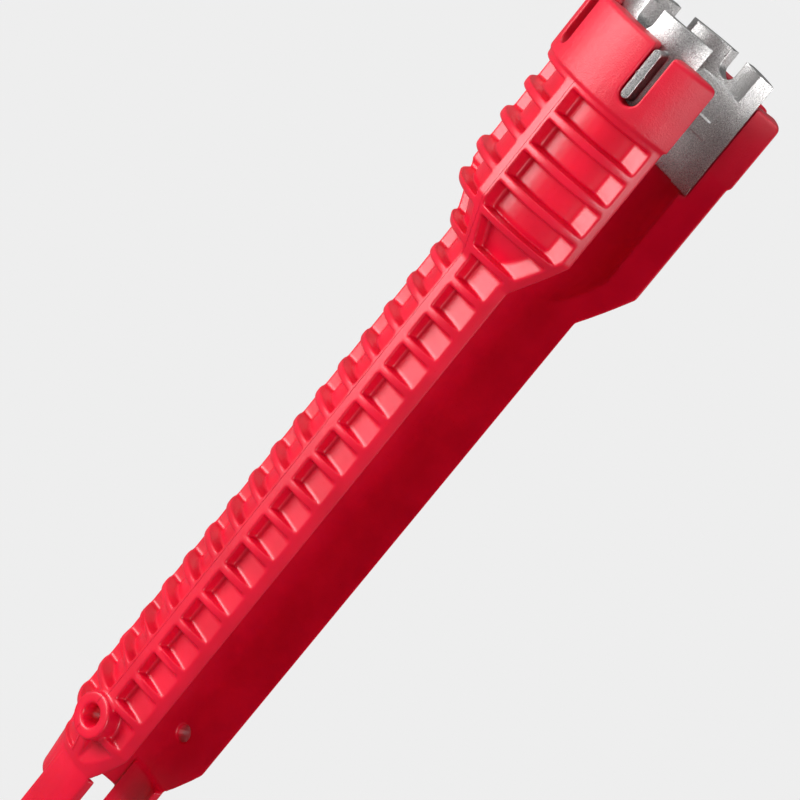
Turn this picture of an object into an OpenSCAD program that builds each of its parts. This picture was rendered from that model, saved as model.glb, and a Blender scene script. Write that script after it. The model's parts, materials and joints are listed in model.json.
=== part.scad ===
// Basin wrench with an open channel body and two lift-out metal inserts.
// The turning axis is Z, the head is up and the long slot faces -Y.
// Z = 0 is the mouth of the end insert.

/* [Body lengths] */
// Height of the plastic head end above the end insert's mouth
head_end_z = 277; // [270:1:290]
// Length of the smooth band round the head end
band_h = 18.2; // [17:0.1:22]
// Distance from the head end down to where the head starts to narrow
head_h = 52; // [50:0.5:54]
// Axial length of the shoulder between head and grip
shoulder_h = 14.5; // [12:0.5:18]
// Height of the foot's lower face, where the two prongs start
prong_root_z = 49.3; // [46:0.1:52]
// Axial length of the tapered foot above the prongs
foot_h = 11.2; // [9:0.1:13]

/* [Body sections] */
// Radius of the rounding round the head end
end_round = 1.4; // [0.8:0.1:1.6]
// Radius of the smooth band
band_r = 26.8; // [26:0.1:28]
// Outer radius of the ribbed head
head_r = 26.2; // [25.5:0.1:26.8]
// Outer radius of the ribbed grip
grip_r = 19; // [18.5:0.1:20]
// Radius at the foot's lower face
foot_r = 15.7; // [15.3:0.1:16.5]
// Full width of the slot along the body
slot_w = 27.4; // [26:0.2:28]
// Wall of the flanges beside the slot
flange_t = 2.0; // [1.6:0.1:2.4]
// Radius of the bore through the grip
grip_bore_r = 13.7; // [13.2:0.1:13.7]
// Radius of the seat that holds the head insert
seat_r = 20; // [19.5:0.1:20.2]
// Radius of the head below that seat
throat_r = 18.6; // [18:0.1:19]
// Radius of the pocket floors in the head
head_floor_r = 22.2; // [22:0.1:23]
// Radius of the pocket floors in the grip
grip_floor_r = 15.5; // [15.2:0.1:16]
// Radius of the pocket floors at the foot's lower face
foot_floor_r = 14.9; // [14.8:0.1:15.2]
// How far the grip's bore runs short of the shoulder before it widens
bore_drop = 2; // [1:0.5:3]
// Clearance below the head insert in its seat
seat_gap = 0.3; // [0.2:0.05:0.5]

/* [Lattice] */
// Distance from one rib to the next
rib_pitch = 9; // [8.9:0.01:9.1]
// Thickness of a rib at its crest
rib_t = 2.2; // [1.8:0.1:2.6]
// Draft of a rib, as the thickness that it gains per unit of depth
rib_draft = 0.12; // [0.05:0.01:0.15]
// Depth from the band down to the first rib
top_gap_h = 8.5; // [8:0.1:9]
// Thickness of the wall between the band and the top pockets
top_wall_t = 2; // [1.5:0.1:2.5]
// Thickness of the wall that closes the lowest pockets
end_wall_t = 1.5; // [1.2:0.1:3]
// Number of ribs below the band
rib_count = 22; // [20:1:22]
// Width of the two side rails
rail_w = 3.6; // [3:0.1:4.4]
// Distance of the head's side rails behind the axis
rail_back = 1.8; // [0:0.1:2.5]
// Width of the spine down the back of the head
head_spine_w = 18.6; // [12:0.2:20]
// Width of the spine down the back of the grip
grip_spine_w = 17; // [9:0.2:18]

/* [Head notches] */
// Width of the notches in the head end
notch_w = 5.3; // [5:0.1:6]
// Depth of the notches
notch_h = 15.2; // [14:0.1:16]
// Angle from one notch to the next
notch_step = 58.4; // [57:0.1:60]

/* [Turning bar hole] */
// Radius of the hole for a turning bar
bar_hole_r = 2.3; // [2:0.1:2.6]
// Radius of that hole's flared mouths
bar_mouth_r = 3.1; // [2.7:0.1:3.6]
// Depth of the flared mouths
bar_mouth_h = 3.4; // [2:0.1:4]
// Height of the hole
bar_hole_z = 62.9; // [62:0.1:64]
// Radius of the bosses round it
boss_r = 6; // [5.4:0.1:6.4]
// Distance of the boss faces from the axis
boss_face_x = 20.4; // [19.6:0.1:21]

/* [Prongs] */
// Height of the prong tips
prong_tip_z = 2.8; // [2.6:0.1:3.5]
// Outer radius of the prongs
prong_r = 15.5; // [15:0.1:15.7]
// Inner radius of the prongs
prong_in_r = 12.9; // [12.6:0.1:13.1]
// Distance of the prongs' front faces from the axis
prong_front = 7.2; // [6.8:0.1:7.6]
// Distance of the prongs' back faces from the axis
prong_back = 5.2; // [4.3:0.1:5.4]
// Height at which the skirt behind the prongs ends
skirt_z = 38.5; // [36:0.5:42]
// Outer radius of the skirt's lower edge
skirt_r = 14.8; // [14.6:0.1:15.4]

/* [Head insert] */
// How far the head insert stands out of the head end
insert_up = 5.8; // [5:0.1:7]
// Full length of the head insert
insert_h = 32.1; // [31:0.1:34]
// Outer radius of the head insert
insert_r = 19.7; // [19.2:0.1:19.7]
// Width between the two straight arms
insert_gap = 26.8; // [26:0.1:27]
// Depth of the round cup in its end
cup_h = 7.9; // [7:0.1:8.5]
// Radius of that cup
cup_r = 16.3; // [15.6:0.1:17.2]
// Width of the drive notches in the cup's rim
tab_w = 5.3; // [4.8:0.1:5.6]
// Depth of the drive notches
tab_h = 6.5; // [5:0.1:6.8]
// Angles of the drive notches, on both sides of the back
tab_angle = 30; // [26:1:34]
// Angle of the foremost drive notches
tab_front_angle = 86; // [82:1:90]
// Width of the two outer keys
key_w = 2.2; // [2:0.1:3]
// Height of the recess below the cup
recess_h = 8.1; // [7:0.1:9]
// Height of the land between that recess and the lower one
land_h = 4; // [3:0.1:5]
// Distance of the recess floors from the axis
recess_x = 15; // [14.2:0.1:15.5]
// How far the upper recess reaches in front of the axis
recess_front = 6.8; // [6:0.1:8]
// How far the lower recess reaches in front of the axis
low_front = 8.4; // [7.5:0.1:9.5]
// Distance behind the axis at which the arms join
inner_back = 9; // [8:0.1:11]
// Angle of the keys from the back
key_angle = 114.2; // [113.9:0.1:117]
// Radius reached by the keys
key_r = 26; // [25:0.1:26.4]
// Distance from the head end down to the keys' tops
key_top = 1; // [0.5:0.1:2]
// Length of the keys
key_h = 13.3; // [12.8:0.1:13.4]
// How far the keys' roots reach into the insert from the seat's radius
key_root = 1.5; // [1:0.1:1.8]

/* [End insert] */
// Radius of the round socket at the mouth
socket_r = 11; // [10.5:0.1:11.2]
// Depth of the round socket
socket_h = 8; // [7:0.5:9]
// Width across the flats of the larger hexagon
hex_large = 19; // [18.5:0.5:19.5]
// Width across the flats of the smaller hexagon
hex_small = 16; // [15:0.5:17]
// Height at which the larger hexagon ends
hex_large_z = 16; // [13:0.5:18]
// Thickness of the rim at the mouth
rim_t = 2.5; // [2:0.1:2.7]
// Height of the end insert above its mouth
end_h = 21; // [20.5:0.5:26]
// Width of the end insert's slot
end_slot_w = 12; // [11:0.5:12]
// Radius of its rim
end_rim_r = 16; // [15.6:0.1:16.4]
// Clearance between the end insert and the prongs
end_gap = 0.3; // [0.25:0.05:0.5]

/* [Hidden] */
$fn = 96;
plastic_red = [0.82, 0.05, 0.11];
cast_grey = [0.62, 0.61, 0.60];

// Longer than any cut, a rib gap's reach on each side of its crest, and the overlap of joined shapes
big = 80;
gap_reach = 10;
eps = 0.01;
band_z = head_end_z - band_h;
neck_top_z = head_end_z - head_h;
neck_z = neck_top_z - shoulder_h;
foot_z = prong_root_z + foot_h;
first_rib_z = band_z - top_gap_h - rib_t / 2;
flange_x = slot_w / 2 + flange_t;
insert_top_z = head_end_z + insert_up;
insert_z = insert_top_z - insert_h;
seat_z = insert_z - seat_gap;
cup_z = insert_top_z - cup_h;

// Round body of revolution through [radius, height] points
module turned(points) rotate_extrude() polygon(points);

// A box centred on X, from y0 to y1 and z0 to z1
module block(w, y0, y1, z0, z1) {
    translate([-w / 2, y0, z0]) cube([w, y1 - y0, z1 - z0]);
}

// Outer shape of the body before anything is cut from it
module envelope() {
    turned([
        [0, prong_root_z], [foot_r, prong_root_z], [grip_r, foot_z], [grip_r, neck_z],
        [head_r, neck_top_z], [head_r, band_z], [band_r, band_z],
        for (a = [0 : 15 : 90])
            [band_r - end_round * (1 - cos(a)), head_end_z - end_round * (1 - sin(a))],
        [0, head_end_z]
    ]);
}

// Everything inside the pocket floors
module core() {
    turned([
        [0, prong_root_z - 1], [foot_floor_r, prong_root_z - 1], [grip_floor_r, foot_z],
        [grip_floor_r, neck_z], [head_floor_r, neck_top_z], [head_floor_r, band_z + 1],
        [0, band_z + 1]
    ]);
}

// One slab of space between two ribs, from z0 to z1, which narrows inwards as the mould needs
module rib_gap(z0, z1) {
    crest_r = z1 > neck_top_z ? head_r : grip_r;
    slant = rib_draft * gap_reach / 2;
    turned([
        [crest_r - gap_reach, z0 + slant], [crest_r + gap_reach, z0 - slant],
        [crest_r + gap_reach, z1 + slant], [crest_r - gap_reach, z1 - slant]
    ]);
}

// The slabs of space above, between and below the ribs
module rib_gaps() {
    rib_gap(band_z - top_gap_h, band_z - top_wall_t);
    for (i = [0 : rib_count - 2]) {
        z = first_rib_z - rib_pitch * (i + 1) + rib_t / 2;
        rib_gap(z, z + rib_pitch - rib_t);
    }
    last_z = first_rib_z - rib_pitch * (rib_count - 1) - rib_t / 2;
    rib_gap(prong_root_z + end_wall_t, last_z);
}

// The two side rails, which shift from the head's plane to the axis along the shoulder
module side_rails() {
    half = rail_w / 2;
    rotate([90, 0, 90]) linear_extrude(2 * big, center = true) polygon([
        [-half, 0], [half, 0], [half, neck_z], [rail_back + half, neck_top_z],
        [rail_back + half, band_z + 1], [rail_back - half, band_z + 1],
        [rail_back - half, neck_top_z], [-half, neck_z]
    ]);
}

// The pockets of the lattice: gaps less the rails, spine, flanges and core
module pockets() {
    difference() {
        rib_gaps();
        core();
        block(2 * flange_x, -big, 0, 0, band_z + 1);
        side_rails();
        block(head_spine_w, 0, big, neck_top_z, band_z + 1);
        block(grip_spine_w, 0, big, 0, neck_top_z);
    }
}

// The open channel, wide at the head for the insert
module channel() {
    turned([
        [0, prong_root_z - 1], [grip_bore_r, prong_root_z - 1], [grip_bore_r, neck_z - bore_drop],
        [throat_r, neck_top_z - bore_drop], [throat_r, seat_z], [seat_r, seat_z],
        [seat_r, head_end_z + 1], [0, head_end_z + 1]
    ]);
    block(slot_w, -big, 0, prong_root_z - 1, head_end_z + 1);
}

// One round-bottomed notch in the head end, cut outwards from the axis
module notch() {
    bottom = head_end_z - notch_h + notch_w / 2;
    translate([0, 0, bottom]) rotate([-90, 0, 0]) cylinder(d = notch_w, h = big);
    block(notch_w, 0, big, bottom, head_end_z + 1);
}

// The two prongs below the foot
module prongs() {
    difference() {
        translate([0, 0, prong_tip_z]) cylinder(r = prong_r, h = prong_root_z - prong_tip_z + eps);
        translate([0, 0, prong_tip_z - 1]) cylinder(r = prong_in_r, h = prong_root_z);
        block(2 * big, -big, -prong_front, 0, prong_root_z + 1);
        block(2 * big, prong_back, big, 0, prong_root_z + 1);
    }
}

// The back of the foot, which runs on below it as a skirt behind the prongs
module skirt() {
    difference() {
        turned([
            [grip_bore_r, skirt_z], [skirt_r, skirt_z], [foot_r, prong_root_z],
            [foot_r, prong_root_z + eps], [grip_bore_r, prong_root_z + eps]
        ]);
        block(2 * big, -big, prong_back - eps, skirt_z - 1, prong_root_z + 1);
    }
}

// The hole for a turning bar, through both walls, flared at its two mouths
module bar_hole() {
    end_x = boss_face_x + 1;
    throat_x = boss_face_x - bar_mouth_h;
    rotate([0, 90, 0]) turned([
        [0, -end_x], [bar_mouth_r, -end_x], [bar_mouth_r, -boss_face_x],
        [bar_hole_r, -throat_x], [bar_hole_r, throat_x],
        [bar_mouth_r, boss_face_x], [bar_mouth_r, end_x], [0, end_x]
    ]);
}

module body() {
    color(plastic_red)
    difference() {
        union() {
            difference() {
                envelope();
                pockets();
            }
            translate([-boss_face_x, 0, bar_hole_z]) rotate([0, 90, 0])
                cylinder(r = boss_r, h = 2 * boss_face_x);
            prongs();
            skirt();
        }
        channel();
        for (i = [-2 : 2]) rotate([0, 0, notch_step * i]) notch();
        translate([0, 0, bar_hole_z]) bar_hole();
    }
}

// A drive notch in the cup's rim, cut outwards from the axis
module tab_notch() {
    bottom = insert_top_z - tab_h + tab_w / 2;
    translate([0, 0, bottom]) rotate([-90, 0, 0]) cylinder(d = tab_w, h = big);
    block(tab_w, 0, big, bottom, insert_top_z + 1);
}

// An outer key that drops into one of the head's notches
module key() {
    low = head_end_z - key_top - key_h;
    high = head_end_z - key_top;
    intersection() {
        translate([0, 0, insert_z]) cylinder(r = key_r, h = insert_h);
        union() {
            block(key_w, seat_r - key_root, big, low + key_w / 2, high - key_w / 2);
            for (z = [low + key_w / 2, high - key_w / 2])
                translate([0, seat_r - key_root, z]) rotate([-90, 0, 0]) cylinder(d = key_w, h = big);
        }
    }
}

module head_insert() {
    low_z = cup_z - recess_h - land_h;
    color(cast_grey)
    difference() {
        union() {
            translate([0, 0, insert_z]) cylinder(r = insert_r, h = insert_h);
            for (side = [-1, 1]) rotate([0, 0, side * key_angle]) key();
        }
        // straight arms, open to the front
        block(insert_gap, -big, inner_back, insert_z - 1, insert_top_z + 1);
        // round cup in the end
        translate([0, 0, cup_z]) cylinder(r = cup_r, h = cup_h + 1);
        // recess behind the cup
        block(2 * recess_x, -recess_front, inner_back, cup_z - recess_h, cup_z + eps);
        // recess at the lower end
        block(2 * recess_x, -low_front, inner_back, insert_z - 1, low_z);
        // drive notches between the arms
        for (a = [tab_angle, tab_front_angle], side = [-1, 1]) rotate([0, 0, side * a]) tab_notch();
    }
}

// Hexagonal hole with its flats facing the slot
module hex_hole(flats, z0, z1) {
    translate([0, 0, z0]) rotate([0, 0, 30]) cylinder(r = flats / sqrt(3), h = z1 - z0, $fn = 6);
}

module end_insert() {
    color(cast_grey)
    difference() {
        union() {
            cylinder(r = end_rim_r, h = rim_t);
            cylinder(r = prong_r, h = end_h);
        }
        // seats for the two prongs
        for (side = [-1, 1])
            translate([side > 0 ? 0 : -big, -prong_front - end_gap, rim_t])
                difference() {
                    cube([big, prong_front + prong_back + 2 * end_gap, end_h]);
                    translate([side > 0 ? 0 : big, prong_front + end_gap, -1])
                        cylinder(r = prong_in_r - end_gap, h = end_h + 2);
                }
        translate([0, 0, -1]) cylinder(r = socket_r, h = socket_h + 1);
        hex_hole(hex_large, socket_h - eps, hex_large_z);
        hex_hole(hex_small, hex_large_z - eps, end_h + 1);
        block(end_slot_w, -big, 0, -1, end_h + 1);
    }
}

body();
head_insert();
end_insert();
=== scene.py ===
"""Looks of the basin wrench: a moulded red body, two cast inserts, studio floor, light and camera."""

import json
import math

import bmesh
import bpy
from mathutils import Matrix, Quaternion, Vector
from mathutils.bvhtree import BVHTree

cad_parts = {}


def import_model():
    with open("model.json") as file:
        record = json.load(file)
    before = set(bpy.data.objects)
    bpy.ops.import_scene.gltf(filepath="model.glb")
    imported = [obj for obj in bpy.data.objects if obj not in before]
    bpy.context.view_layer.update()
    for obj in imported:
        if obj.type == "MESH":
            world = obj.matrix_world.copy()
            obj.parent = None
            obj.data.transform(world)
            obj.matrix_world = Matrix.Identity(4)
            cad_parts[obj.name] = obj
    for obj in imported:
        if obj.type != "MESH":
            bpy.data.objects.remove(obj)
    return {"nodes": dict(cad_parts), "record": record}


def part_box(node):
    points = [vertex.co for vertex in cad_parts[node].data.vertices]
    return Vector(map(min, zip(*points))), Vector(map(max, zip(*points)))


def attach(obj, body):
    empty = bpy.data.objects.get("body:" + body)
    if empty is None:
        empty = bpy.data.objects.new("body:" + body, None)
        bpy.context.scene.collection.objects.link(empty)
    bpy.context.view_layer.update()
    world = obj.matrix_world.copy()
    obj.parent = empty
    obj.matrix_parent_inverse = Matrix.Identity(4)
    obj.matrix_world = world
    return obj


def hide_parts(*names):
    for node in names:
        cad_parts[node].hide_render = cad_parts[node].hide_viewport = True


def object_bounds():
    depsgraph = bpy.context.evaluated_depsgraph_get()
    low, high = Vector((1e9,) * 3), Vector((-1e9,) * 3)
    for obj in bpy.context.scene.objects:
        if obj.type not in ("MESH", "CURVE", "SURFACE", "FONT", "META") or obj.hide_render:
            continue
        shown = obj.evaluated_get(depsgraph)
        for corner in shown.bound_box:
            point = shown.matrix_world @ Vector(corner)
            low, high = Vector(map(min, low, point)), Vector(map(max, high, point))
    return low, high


MM = 0.001

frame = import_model()
cad_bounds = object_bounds()

BODY_LOW, BODY_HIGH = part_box("body")
MOUNTS = {mount["name"]: mount for mount in frame["record"]["mounts"]}

# Rounding of the edges: grid of the remesh, passes of smoothing, and the triangles that a piece may keep
BODY_GRID = 0.27 * MM
BODY_PASSES = 20
CAST_GRID = 0.2 * MM
CAST_PASSES = 4
SMOOTHING = 0.5
PIECE_TRIANGLES = 190_000
WELD = 0.001 * MM

# The textured band round the head
BAND_HEIGHT = 18.2 * MM
BAND_Z = BODY_HIGH.z - BAND_HEIGHT

# The parting line's ridge on each side rail, from the foot to just below the band, open at the bar hole
SEAM_Y = 0.8 * MM
SEAM_WIDTH = 0.30 * MM
SEAM_HEIGHT = 0.12 * MM
SEAM_STEP = 0.5 * MM
FOOT_HEIGHT = 48 * MM
BAND_GAP = 0.4 * MM
SEAM_LOW = BODY_LOW.z + FOOT_HEIGHT
SEAM_HIGH = BAND_Z - BAND_GAP
SEAM_BREAK = 3.6 * MM
BAR_HOLE_Z = MOUNTS["bar_hole"]["pos_m"][2]

# The head insert's keys, at an angle from +Y to each side, and the beads half-way along their edges
KEY_ANGLE = math.radians(114.2)
KEY_R = 26 * MM
KEY_WIDTH = 2.2 * MM
KEY_DROP = 7.9 * MM
KEY_MIDDLE_Z = BODY_HIGH.z - KEY_DROP
BEAD_R = 0.42 * MM
BEAD_SINK = 0.3 * MM

# Colours, linear
RED = (0.74, 0.003, 0.030, 1)
DEEP_RED = (0.62, 0.001, 0.022, 1)
CAST = (0.70, 0.69, 0.685, 1)
CAST_DARK = (0.36, 0.355, 0.35, 1)
WHITE = (1, 1, 1, 1)

# Camera: the point it looks at, its direction and distance from there, its turn, its lens and sensor in mm
VIEW_CENTRE = Vector((0.0005, 0.0030, BODY_HIGH.z - 0.1078))
VIEW_AZIMUTH = math.radians(307.76)
VIEW_ELEVATION = math.radians(15.08)
VIEW_DISTANCE = 0.6517
VIEW_ROLL = math.radians(39)
LENS = 121.85
SENSOR = 36

# Backdrop: a flat disc below the end insert's lowest place, which curves up into a wall
FLOOR_GAP = 27 * MM
FLOOR_R = 5.0
CURVE_R = 3.0
WALL_TOP = 6.0
CURVE_STEPS = 16
FLOOR_SIDES = 96
PAPER = (0.02, 0.02, 0.02, 1)
PAPER_GLOW = 0.855
SKY_GLOW = 0.22

# Square soft lamps: place, side and radiance, all aimed at the middle of the tool
LAMP_AIM = Vector((0, 0, 0.15))
LAMPS = {
    "key_left": ((-0.62, 0.44, 0.26), 0.52, 9.5),
    "top": ((-0.10, 0.25, 0.95), 0.60, 2.2),
    "fill_right": ((0.62, -0.50, 0.25), 0.45, 1.4),
    "fill_front": ((-0.30, -0.78, 0.30), 0.34, 10.0),
}


# ---------------------------------------------------------------- mesh helpers

def link(name, data):
    """A new object that holds a mesh, lamp or camera, in the scene."""
    made = bpy.data.objects.new(name, data)
    bpy.context.scene.collection.objects.link(made)
    return made


def place_mesh(name, shape):
    """A new object that holds the bmesh's shape, in the scene. The bmesh is used up."""
    mesh = bpy.data.meshes.new(name)
    shape.to_mesh(mesh)
    shape.free()
    return link(name, mesh)


def closed_copy(node):
    """A CAD node's mesh as one closed surface in a new bmesh."""
    shape = bmesh.new()
    shape.from_mesh(frame["nodes"][node].data)
    bmesh.ops.remove_doubles(shape, verts=shape.verts, dist=WELD)
    return shape


def apply_modifiers(piece):
    """Makes the result of a piece's modifiers its own mesh."""
    graph = bpy.context.evaluated_depsgraph_get()
    made = bpy.data.meshes.new_from_object(piece.evaluated_get(graph))
    piece.modifiers.clear()
    piece.data = made


def soften(piece, grid, passes):
    """Rounds every edge and corner as a mould does, and thins the mesh where it has too many faces."""
    remesh = piece.modifiers.new("remesh", "REMESH")
    remesh.mode = "VOXEL"
    remesh.voxel_size = grid
    smooth = piece.modifiers.new("smooth", "SMOOTH")
    smooth.factor = SMOOTHING
    smooth.iterations = passes
    apply_modifiers(piece)
    triangles = 2 * len(piece.data.polygons)
    if triangles > PIECE_TRIANGLES:
        thin = piece.modifiers.new("thin", "DECIMATE")
        thin.ratio = PIECE_TRIANGLES / triangles
        apply_modifiers(piece)
    piece.data.polygons.foreach_set("use_smooth", [True] * len(piece.data.polygons))
    piece.data.update()


def finish_piece(piece, body, material):
    """Gives a piece its material and the body that it moves with."""
    piece.data.materials.clear()
    piece.data.materials.append(material)
    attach(piece, body)


# ---------------------------------------------------------------- material helpers

def new_material(name):
    """A new material, its node tree and its shader."""
    made = bpy.data.materials.new(name)
    made.use_nodes = True
    return made, made.node_tree, made.node_tree.nodes["Principled BSDF"]


def plug(tree, socket, value):
    """Links a socket to an output, or sets it to a constant."""
    if isinstance(value, bpy.types.NodeSocket):
        tree.links.new(value, socket)
    else:
        socket.default_value = value


def add(tree, kind, **inputs):
    """A node with its inputs set or linked by name."""
    made = tree.nodes.new(kind)
    for name, value in inputs.items():
        socket = made.inputs[name.replace("_", " ")]
        plug(tree, socket, value)
    return made


def calc(tree, operation, *values):
    """A Math node's result."""
    made = tree.nodes.new("ShaderNodeMath")
    made.operation = operation
    for socket, value in zip(made.inputs, values):
        plug(tree, socket, value)
    return made.outputs[0]


def grain(tree, size, detail=2.0, roughness=0.5):
    """Noise fixed to the piece, with grains of about that size."""
    place = add(tree, "ShaderNodeTexCoord")
    noise = add(tree, "ShaderNodeTexNoise", Vector=place.outputs["Object"], Scale=1 / size,
                Detail=detail, Roughness=roughness)
    return noise.outputs["Fac"]


def spread(tree, value, source, target=(0, 1)):
    """A value's source range mapped to the target range, and held at its ends."""
    made = add(tree, "ShaderNodeMapRange", Value=value, From_Min=source[0], From_Max=source[1],
               To_Min=target[0], To_Max=target[1])
    return made.outputs[0]


def blend_colour(tree, share, first, second):
    """The first colour where share is 0, the second where it is 1."""
    mix = tree.nodes.new("ShaderNodeMix")
    mix.data_type = "RGBA"
    plug(tree, mix.inputs["Factor"], share)
    for socket, colour in zip([s for s in mix.inputs if s.type == "RGBA"], (first, second)):
        socket.default_value = colour
    return [s for s in mix.outputs if s.type == "RGBA"][0]


def bump(tree, height, strength, depth, under=None):
    """A normal bumped by height, on top of the normal under it."""
    made = add(tree, "ShaderNodeBump", Height=height, Strength=strength, Distance=depth)
    if under is not None:
        tree.links.new(under, made.inputs["Normal"])
    return made.outputs[0]


# ---------------------------------------------------------------- materials

def red_plastic():
    """Moulded red plastic: semi-gloss, spark-textured on the head band, slightly uneven in colour."""
    made, tree, shader = new_material("red_plastic")
    place = add(tree, "ShaderNodeTexCoord")
    height = add(tree, "ShaderNodeSeparateXYZ", Vector=place.outputs["Object"]).outputs["Z"]
    band_edge = 0.2 * MM
    band = spread(tree, height, (BAND_Z - band_edge, BAND_Z + band_edge))

    flow = grain(tree, size=14 * MM)
    colour = blend_colour(tree, spread(tree, flow, (0.35, 0.65)), DEEP_RED, RED)
    plug(tree, shader.inputs["Base Color"], colour)

    spark = grain(tree, size=0.4 * MM, detail=3.0, roughness=0.65)
    band_roughness = 0.08
    roughness = spread(tree, spark, (0.3, 0.7), (0.27, 0.39))
    roughness = calc(tree, "ADD", roughness, calc(tree, "MULTIPLY", band, band_roughness))
    plug(tree, shader.inputs["Roughness"], roughness)

    waves = bump(tree, grain(tree, size=2.2 * MM), strength=0.25, depth=0.05 * MM)
    spark_strength = spread(tree, band, (0, 1), (0.16, 1.0))
    normal = bump(tree, spark, strength=spark_strength, depth=0.1 * MM, under=waves)
    plug(tree, shader.inputs["Normal"], normal)

    shader.inputs["Subsurface Weight"].default_value = 0.2
    shader.inputs["Subsurface Radius"].default_value = (1.0, 0.12, 0.1)
    shader.inputs["Subsurface Scale"].default_value = 3 * MM
    return made


def cast_metal():
    """As-cast aluminium: grainy, dull, with darker flecks between the grains."""
    made, tree, shader = new_material("cast_aluminium")
    shader.inputs["Metallic"].default_value = 1.0
    coarse = grain(tree, size=0.36 * MM, detail=4.0, roughness=0.7)
    fine = grain(tree, size=0.16 * MM, roughness=0.6)
    cloud = grain(tree, size=6 * MM)

    clean = calc(tree, "MULTIPLY", spread(tree, coarse, (0.35, 0.6)),
                 spread(tree, cloud, (0.3, 0.6), (0.75, 1)))
    plug(tree, shader.inputs["Base Color"], blend_colour(tree, clean, CAST_DARK, CAST))
    plug(tree, shader.inputs["Roughness"], spread(tree, fine, (0.3, 0.7), (0.22, 0.36)))

    grains = bump(tree, coarse, strength=0.7, depth=0.14 * MM)
    normal = bump(tree, fine, strength=0.5, depth=0.06 * MM, under=grains)
    plug(tree, shader.inputs["Normal"], normal)
    return made


RED_PLASTIC = red_plastic()
CAST_METAL = cast_metal()


# ---------------------------------------------------------------- the body

def moulded_body():
    """The body's CAD shape with the mould's rounded edges, in red plastic."""
    piece = place_mesh("moulded_body", closed_copy("body"))
    soften(piece, BODY_GRID, BODY_PASSES)
    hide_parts("body")
    finish_piece(piece, "body", RED_PLASTIC)
    return piece


def ridge(shape, surface, side, low, high):
    """One closed run of the parting line's ridge on a side rail, from low to high."""
    steps = round((high - low) / SEAM_STEP)
    rows = []
    for i in range(steps + 1):
        up = low + (high - low) * i / steps
        start = Vector((side * 2 * BODY_HIGH.x, SEAM_Y, up))
        x = surface.ray_cast(start, Vector((-side, 0, 0)))[0].x
        rows.append([shape.verts.new(point) for point in (
            (x - side * SEAM_HEIGHT, SEAM_Y - SEAM_WIDTH / 2, up),
            (x + side * SEAM_HEIGHT, SEAM_Y, up),
            (x - side * SEAM_HEIGHT, SEAM_Y + SEAM_WIDTH / 2, up))])
    for first, second in zip(rows, rows[1:]):
        for a in range(3):
            b = (a + 1) % 3
            shape.faces.new((first[a], first[b], second[b], second[a]))
    shape.faces.new(rows[0])
    shape.faces.new(rows[-1])


def seam(name, side, body):
    """The low ridge that the mould's parting line leaves along a side rail, except at the bar hole."""
    corners = [vertex.co for vertex in body.data.vertices]
    surface = BVHTree.FromPolygons(corners, [face.vertices for face in body.data.polygons])
    shape = bmesh.new()
    ridge(shape, surface, side, SEAM_LOW, BAR_HOLE_Z - SEAM_BREAK)
    ridge(shape, surface, side, BAR_HOLE_Z + SEAM_BREAK, SEAM_HIGH)
    bmesh.ops.recalc_face_normals(shape, faces=shape.faces)
    piece = place_mesh(name, shape)
    finish_piece(piece, "body", RED_PLASTIC)


body = moulded_body()
seam("seam_left", -1, body)
seam("seam_right", 1, body)


# ---------------------------------------------------------------- the inserts

def key_beads(shape):
    """Small beads that the casting die leaves half-way along both edges of each key."""
    reach = KEY_R - BEAD_SINK
    for angle in (-KEY_ANGLE, KEY_ANGLE):
        outward = Vector((math.sin(angle), math.cos(angle), 0))
        along = Vector((math.cos(angle), -math.sin(angle), 0))
        for across in (-KEY_WIDTH / 2, KEY_WIDTH / 2):
            centre = outward * reach + along * across + Vector((0, 0, KEY_MIDDLE_Z))
            made = bmesh.ops.create_icosphere(shape, subdivisions=2, radius=BEAD_R)
            bmesh.ops.translate(shape, verts=made["verts"], vec=centre)


def cast_piece(name, node, detail=None):
    """An insert's CAD shape with its die's detail and rounded edges, in cast metal."""
    shape = closed_copy(node)
    if detail:
        detail(shape)
    piece = place_mesh(name, shape)
    soften(piece, CAST_GRID, CAST_PASSES)
    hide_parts(node)
    finish_piece(piece, node, CAST_METAL)


cast_piece("cast_head_insert", "head_insert", key_beads)
cast_piece("cast_end_insert", "end_insert")


# ---------------------------------------------------------------- studio

def camera():
    """The scene's camera. Azimuth 0 looks into the slot, from -Y."""
    data = bpy.data.cameras.new("camera")
    data.lens = LENS
    data.sensor_width = SENSOR
    made = link("camera", data)
    level = math.cos(VIEW_ELEVATION)
    back = Vector((math.sin(VIEW_AZIMUTH) * level, -math.cos(VIEW_AZIMUTH) * level, math.sin(VIEW_ELEVATION)))
    made.location = VIEW_CENTRE + back * VIEW_DISTANCE
    made.rotation_mode = "QUATERNION"
    made.rotation_quaternion = (-back).to_track_quat("-Z", "Y") @ Quaternion((0, 0, 1), VIEW_ROLL)
    bpy.context.scene.camera = made


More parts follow.
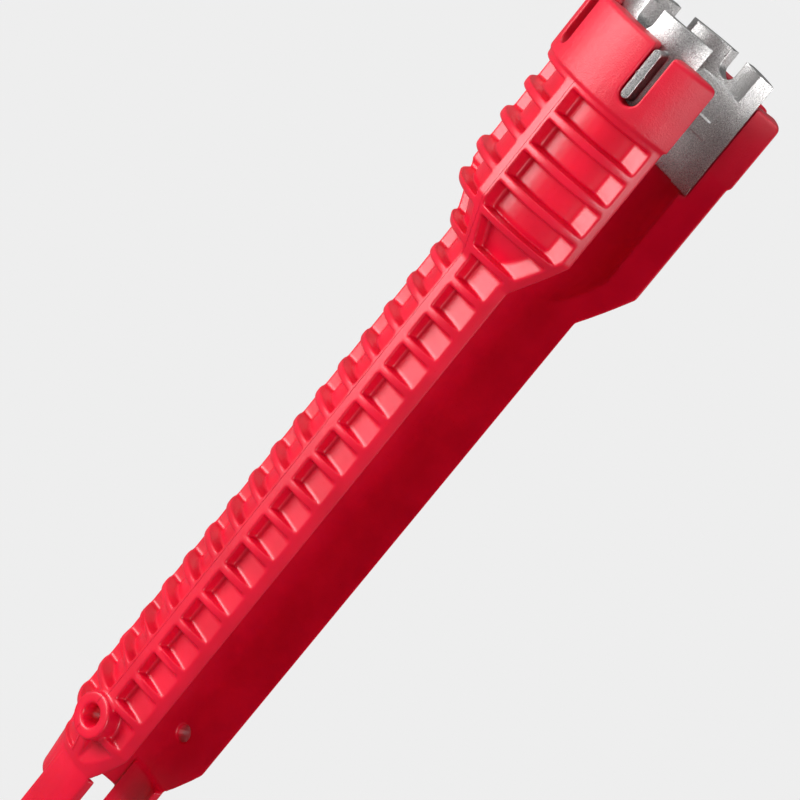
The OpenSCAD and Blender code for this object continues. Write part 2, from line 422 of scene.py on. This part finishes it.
def softbox(name, place, side, radiance):
    """A square soft lamp of that radiance, unseen by the camera."""
    data = bpy.data.lights.new(name, "AREA")
    data.shape = "SQUARE"
    data.size = side
    data.energy = radiance * math.pi * side ** 2
    made = link(name, data)
    made.location = place
    made.rotation_mode = "QUATERNION"
    made.rotation_quaternion = (LAMP_AIM - Vector(place)).to_track_quat("-Z", "Y")
    made.visible_camera = False


def backdrop():
    """A pale floor that curves up into a pale wall all round, and isn't mirrored in the tool."""
    profile = [(FLOOR_R, 0.0)]
    for i in range(1, CURVE_STEPS + 1):
        turn = math.pi / 2 * i / CURVE_STEPS
        profile.append((FLOOR_R + CURVE_R * math.sin(turn), CURVE_R * (1 - math.cos(turn))))
    profile.append((FLOOR_R + CURVE_R, WALL_TOP))

    shape = bmesh.new()
    angles = [2 * math.pi * i / FLOOR_SIDES for i in range(FLOOR_SIDES)]
    rings = [[shape.verts.new((radius * math.cos(t), radius * math.sin(t), up)) for t in angles]
             for radius, up in profile]
    shape.faces.new(rings[0])
    for low, high in zip(rings, rings[1:]):
        for i in range(FLOOR_SIDES):
            j = (i + 1) % FLOOR_SIDES
            shape.faces.new((low[i], low[j], high[j], high[i]))
    for face in shape.faces:
        face.smooth = True
    made = place_mesh("studio_floor", shape)
    made.location.z = cad_bounds[0].z - FLOOR_GAP
    made.visible_glossy = False
    made.visible_diffuse = False

    paper, _, shader = new_material("pale_paper")
    shader.inputs["Base Color"].default_value = PAPER
    shader.inputs["Roughness"].default_value = 1.0
    shader.inputs["Specular IOR Level"].default_value = 0.0
    shader.inputs["Emission Color"].default_value = WHITE
    shader.inputs["Emission Strength"].default_value = PAPER_GLOW
    made.data.materials.append(paper)


def world():
    """Even white light from all round."""
    made = bpy.data.worlds.new("world")
    made.use_nodes = True
    made.node_tree.nodes["Background"].inputs["Color"].default_value = WHITE
    made.node_tree.nodes["Background"].inputs["Strength"].default_value = SKY_GLOW
    bpy.context.scene.world = made


camera()
backdrop()
world()
for name, (place, side, radiance) in LAMPS.items():
    softbox(name, place, side, radiance)
bpy.context.scene.view_settings.view_transform = "Standard"
